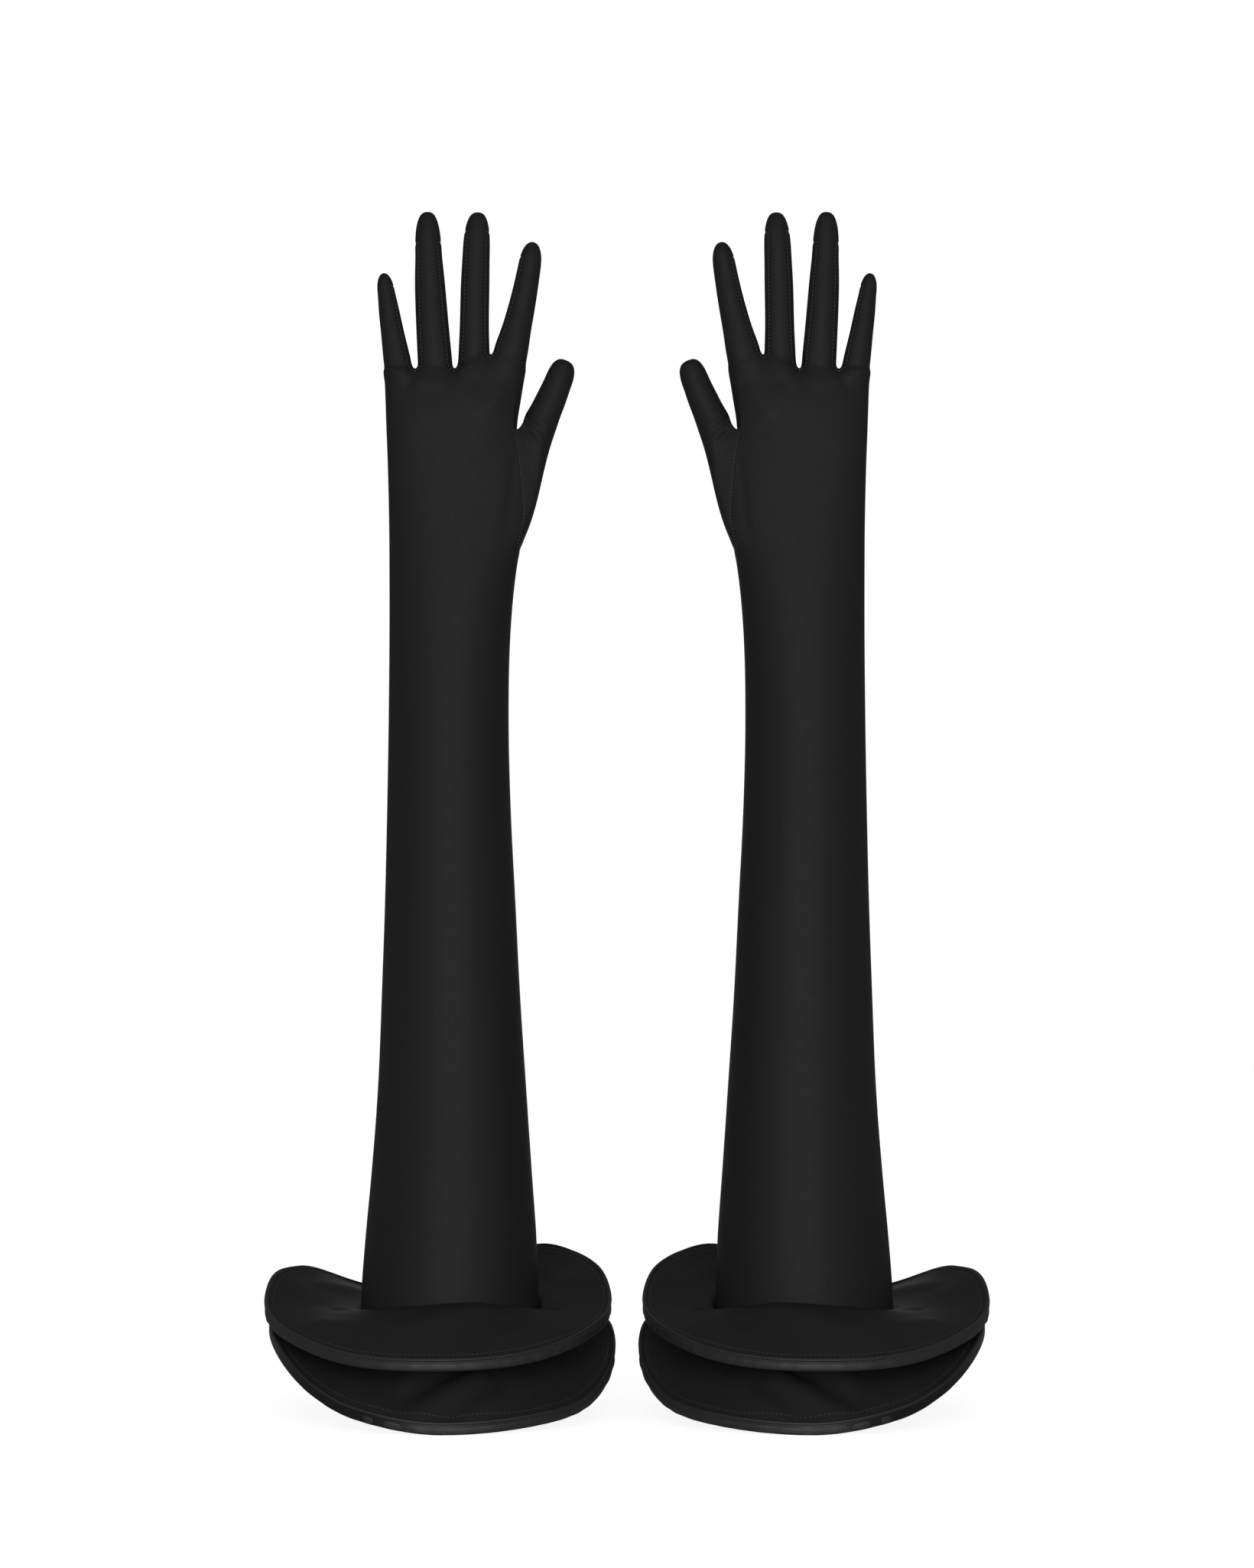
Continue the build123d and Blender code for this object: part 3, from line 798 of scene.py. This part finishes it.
def sewGlove(side):
    low, high = thumb["seam"]

    def roundThumb(points):
        return np.arctan2(points[:, 2] - (low + high) / 2, -points[:, 1])

    path = seamPath("back_panel", "thumb_gusset", roundThumb, seamLift["thumb"])
    row = sewPaths(f"{side}_thumb_stitches", side, [path], "seam")
    follow(row, side, "thumb")
    for name in fingers:
        base, along, _, halfDepth = fingerFrame(name)

        def upFinger(points):
            return np.where(points[:, 1] < -0.3 * halfDepth, (points - base) @ along, np.inf)

        paths = []
        for other in neighbours(name).values():
            strip = f"{name}_fourchette_facing_{other}"
            paths.append(seamPath(f"{name}_finger_stall", strip, upFinger, seamLift["finger"]))
        row = sewPaths(f"{side}_{name}_finger_stitches", side, paths, "seam")
        follow(row, side, f"{name}_finger")
    for tier in ("upper", "lower"):
        steps = rimRow["steps"]
        angles = 360 * np.arange(steps) / steps - 90
        inner = flounceSurface(tier, angles, np.full(steps, rimRow["share"]))
        inner[:, 2] += rimRow["lift"]
        out, up = binding["groove"]
        level = aroundRim(flounce[tier]["rim"], angles) + up
        groove = aroundAxis(rimReach(tier, angles) + out, angles, level)
        for kind, path in (("rim", inner), ("welt", groove)):
            row = sewPaths(f"{side}_{tier}_{kind}_stitches", side, [path], kind, closed=True)
            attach(row, f"{side}_glove")


# ---- materials

def linear(hexColour):
    values = [int(hexColour[i : i + 2], 16) / 255 for i in (1, 3, 5)]
    return (*[v / 12.92 if v <= 0.04045 else ((v + 0.055) / 1.055) ** 2.4 for v in values], 1)


def knitMaterial(name, look):
    # wales are the upright columns of loops; courses are the rows across them
    material = bpy.data.materials.new(name)
    material.use_nodes = True
    tree = material.node_tree
    tree.nodes.clear()
    where = addNode(tree, "ShaderNodeUVMap", {"uv_map": "pattern"})
    split = addNode(tree, "ShaderNodeSeparateXYZ", links={0: where.outputs[0]})
    waves = []
    for axis, spacing in (("X", look["wale"]), ("Y", look["course"])):
        count = addNode(tree, "ShaderNodeMath", {"operation": "MULTIPLY"}, {1: 2 * math.pi / (spacing * mm)},
                        {0: split.outputs[axis]})  # fmt: skip
        waves.append(addNode(tree, "ShaderNodeMath", {"operation": "SINE"}, links={0: count.outputs[0]}))
    grain = addNode(tree, "ShaderNodeTexNoise", inputs={"Scale": 1 / (look["patch"] * mm), "Detail": 3.0},
                    links={"Vector": where.outputs[0]})  # fmt: skip
    fuzz = addNode(tree, "ShaderNodeTexNoise", inputs={"Scale": 1 / (look["fuzz"] * mm), "Detail": 2.0},
                   links={"Vector": where.outputs[0]})  # fmt: skip
    patchy = addNode(tree, "ShaderNodeMapRange", links={"Value": grain.outputs["Fac"]}, inputs={
        "From Min": 0.38, "From Max": 0.68, "To Min": 0.35, "To Max": 1.0})  # fmt: skip
    wales = addNode(tree, "ShaderNodeMath", {"operation": "MULTIPLY"},
                    links={0: waves[0].outputs[0], 1: patchy.outputs[0]})  # fmt: skip
    courses = addNode(tree, "ShaderNodeMath", {"operation": "MULTIPLY_ADD"}, {1: look["courseShare"]},
                      {0: waves[1].outputs[0], 2: wales.outputs[0]})  # fmt: skip
    height = addNode(tree, "ShaderNodeMath", {"operation": "MULTIPLY_ADD"}, {1: look["fuzzShare"]},
                     {0: fuzz.outputs["Fac"], 2: courses.outputs[0]})  # fmt: skip
    bump = addNode(tree, "ShaderNodeBump", inputs={"Strength": 1.0, "Distance": look["relief"] * mm},
                   links={"Height": height.outputs[0]})  # fmt: skip
    tone = addNode(tree, "ShaderNodeMath", {"operation": "MULTIPLY_ADD"}, {1: look["toneShare"], 2: 0.5},
                   {0: wales.outputs[0]})  # fmt: skip
    colour = addNode(tree, "ShaderNodeMix", {"data_type": "RGBA"}, links={0: tone.outputs[0]})
    colour.inputs[6].default_value = linear(look["deep"])
    colour.inputs[7].default_value = linear(look["light"])
    rough = addNode(tree, "ShaderNodeMapRange", links={"Value": grain.outputs["Fac"]}, inputs={
        "To Min": look["roughness"] - 0.04, "To Max": look["roughness"] + 0.04})  # fmt: skip
    surface = addNode(tree, "ShaderNodeBsdfPrincipled", links={
        "Base Color": colour.outputs[2], "Roughness": rough.outputs[0],
        "Normal": bump.outputs[0]})  # fmt: skip
    surface.inputs["Specular IOR Level"].default_value = look["gloss"]
    result = addNode(tree, "ShaderNodeOutputMaterial")
    tree.links.new(surface.outputs[0], result.inputs["Surface"])
    return material


def plainMaterial(name, hexColour, roughness, gloss=0.5):
    material = bpy.data.materials.new(name)
    material.use_nodes = True
    surface = material.node_tree.nodes["Principled BSDF"]
    surface.inputs["Base Color"].default_value = linear(hexColour)
    surface.inputs["Roughness"].default_value = roughness
    surface.inputs["Specular IOR Level"].default_value = gloss
    return material


# Nylon and elastane jersey, warp knitted, with a matt satin face: broad soft sheen, fine upright wales.
# Real wales are 0.4 mm apart; they are drawn three times as coarse so that they show.
satinJersey = knitMaterial("satinJersey", {
    "deep": "#212121", "light": "#2a2a2a", "wale": 1.2, "course": 0.9, "patch": 7, "fuzz": 0.9,
    "courseShare": 0.12, "fuzzShare": 1.1, "relief": 0.028, "toneShare": 0.28, "roughness": 0.62,
    "gloss": 0.24})  # fmt: skip
# The same yarn in a close double knit: duller and smoother.
flounceKnit = knitMaterial("flounceDoubleKnit", {
    "deep": "#252525", "light": "#2d2d2d", "wale": 0.9, "course": 0.9, "patch": 18, "fuzz": 1.4,
    "courseShare": 0.4, "fuzzShare": 0.7, "relief": 0.012, "toneShare": 0.3, "roughness": 0.6,
    "gloss": 0.2})  # fmt: skip
# Folded bias tape, pressed flat and a little glossier; its colours are painted lighter than the jersey's, painted
# light for the band's upright face that meets the front lamps.
bindingTapeWithPaintedLight = knitMaterial("bindingTapeWithPaintedLight", {
    "deep": "#292929", "light": "#323232", "wale": 1.1, "course": 0.8, "patch": 9, "fuzz": 1.2,
    "courseShare": 0.5, "fuzzShare": 0.7, "relief": 0.03, "toneShare": 0.4, "roughness": 0.5,
    "gloss": 0.5})  # fmt: skip
# Corespun thread, lighter and a little glossier than the knit.
thread = plainMaterial("polyesterThread", "#565656", 0.45)
# Woven elastic, dull; its ribs are in the band's shape.
ribbedElastic = plainMaterial("ribbedElastic", "#141414", 0.7)
# Drawn nylon, smooth, with a low gloss.
nylonBoning = plainMaterial("nylonBoning", "#101010", 0.4)
print("materials made")


# ---- the two gloves

skin = gloveSkin()
print("glove skin shaped:", len(skin["points"]), "points")
stitches, stitchSockets = stitchTree()
blends = {}
for name in fingers:
    base, along, _, _ = fingerFrame(name)
    blends[f"{name}_finger"] = [base + along * reach for reach in fingerBlend]
blends["thumb"] = np.array(thumb["blend"])


def follow(piece, side, body):
    # cloth on the glove's body hangs from the glove; other cloth has its placing baked into its mesh
    if body == "glove":
        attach(piece, f"{side}_glove")
    else:
        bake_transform(piece)


def bodyOf(pieceName):
    for body in blends:
        if pieceName.startswith(body.replace("_finger", "_")):
            return body
    return "glove"


for side in sides:
    for name, chosen in skin["pieces"].items():
        shape = (skin["points"], skin["normals"], skin["faces"][chosen], skin["uvs"][chosen])
        piece = clothPiece(f"{side}_{name}_knit", side, *shape, sleeve["wall"])
        piece.data.materials.append(satinJersey)
        follow(piece, side, bodyOf(name))
        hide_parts(f"{side}_{name}")
    for tier in ("upper", "lower"):
        makeFlounce(tier, side)
        makeBinding(tier, side)
        for surface in frame["nodes"][f"{side}_{tier}_rim_boning"].material_slots:
            surface.material = nylonBoning
    makeElastic(side)
    sewGlove(side)
    print(side, "glove made")


# ---- studio

def areaLight(name, spot, target, size, watts):
    light = bpy.data.lights.new(name, "AREA")
    light.shape = "RECTANGLE"
    light.size, light.size_y = size
    light.energy = watts
    lamp = bpy.data.objects.new(name, light)
    lamp.location = spot
    lamp.visible_camera = False
    lamp.rotation_euler = (Vector(target) - Vector(spot)).to_track_quat("-Z", "Y").to_euler()
    bpy.context.collection.objects.link(lamp)


view = {"distance": 2.6, "height": 0.321, "width": 0.6396}
camera = bpy.data.cameras.new("camera")
camera.sensor_fit = "HORIZONTAL"
camera.sensor_width = 36
camera.lens = 36 * view["distance"] / view["width"]
camera.clip_end = 50
eye = bpy.data.objects.new("camera", camera)
eye.location = (0, -view["distance"], view["height"])
eye.rotation_euler = (math.pi / 2, 0, 0)
bpy.context.collection.objects.link(eye)
bpy.context.scene.camera = eye

areaLight("frontSoftbox", (0, -2.5, 0.62), (0, 0, 0.2), (1.5, 1.7), 16)
areaLight("lowSoftbox", (0, -1.7, 0.2), (0, 0, 0.05), (1.2, 0.3), 5)
areaLight("backSoftbox", (0, 2.4, 0.3), (0, 0, 0.28), (1.6, 0.8), 3)
areaLight("topSoftbox", (0, -1.3, 2.2), (0, 0, 0.2), (1.6, 1.2), 0.4)


def whiteToCamera(tree, shader, result, strength):
    # white where the camera looks straight at it, but no lamp for the black cloth
    ray = addNode(tree, "ShaderNodeLightPath")
    glow = addNode(tree, "ShaderNodeEmission", inputs={"Color": (1, 1, 1, 1), "Strength": strength})
    mix = addNode(tree, "ShaderNodeMixShader", links={
        0: ray.outputs["Is Camera Ray"], 1: shader, 2: glow.outputs[0]})  # fmt: skip
    tree.links.new(mix.outputs[0], result)


floorMaterial = plainMaterial("paleFloor", "#d8d8d8", 0.9, 0.0)
floorTree = floorMaterial.node_tree
floorGlow = addNode(floorTree, "ShaderNodeEmission", inputs={"Color": (1, 1, 1, 1), "Strength": 0.88})
floorSum = addNode(floorTree, "ShaderNodeAddShader", links={
    0: floorTree.nodes["Principled BSDF"].outputs[0], 1: floorGlow.outputs[0]})  # fmt: skip
floorTree.links.new(floorSum.outputs[0], floorTree.nodes["Material Output"].inputs["Surface"])
sweep = bpy.data.meshes.new("floor")
cove = {"front": -6.0, "start": 3.0, "radius": 1.5, "top": 6.0, "side": 8}  # metres
profile = [(cove["front"], 0.0), (cove["start"], 0.0)]
for turn in np.linspace(0.1, math.pi / 2, 12):
    profile.append((cove["start"] + cove["radius"] * math.sin(turn), cove["radius"] * (1 - math.cos(turn))))
profile.append((cove["start"] + cove["radius"], cove["top"]))
sweep.from_pydata([(x, y, z) for y, z in profile for x in (-cove["side"], cove["side"])], [],
                  [(2 * i, 2 * i + 1, 2 * i + 3, 2 * i + 2) for i in range(len(profile) - 1)])  # fmt: skip
floor = bpy.data.objects.new("floor", sweep)
sweep.materials.append(floorMaterial)
bpy.context.collection.objects.link(floor)
floor.visible_glossy = False
floor.visible_diffuse = False

world = bpy.data.worlds.new("studio")
bpy.context.scene.world = world
world.use_nodes = True
sky = world.node_tree.nodes["Background"]
sky.inputs["Color"].default_value = (1, 1, 1, 1)
sky.inputs["Strength"].default_value = 0.16
whiteToCamera(world.node_tree, sky.outputs[0], world.node_tree.nodes["World Output"].inputs["Surface"], 1.0)
bpy.context.scene.view_settings.view_transform = "Standard"
print("studio set")
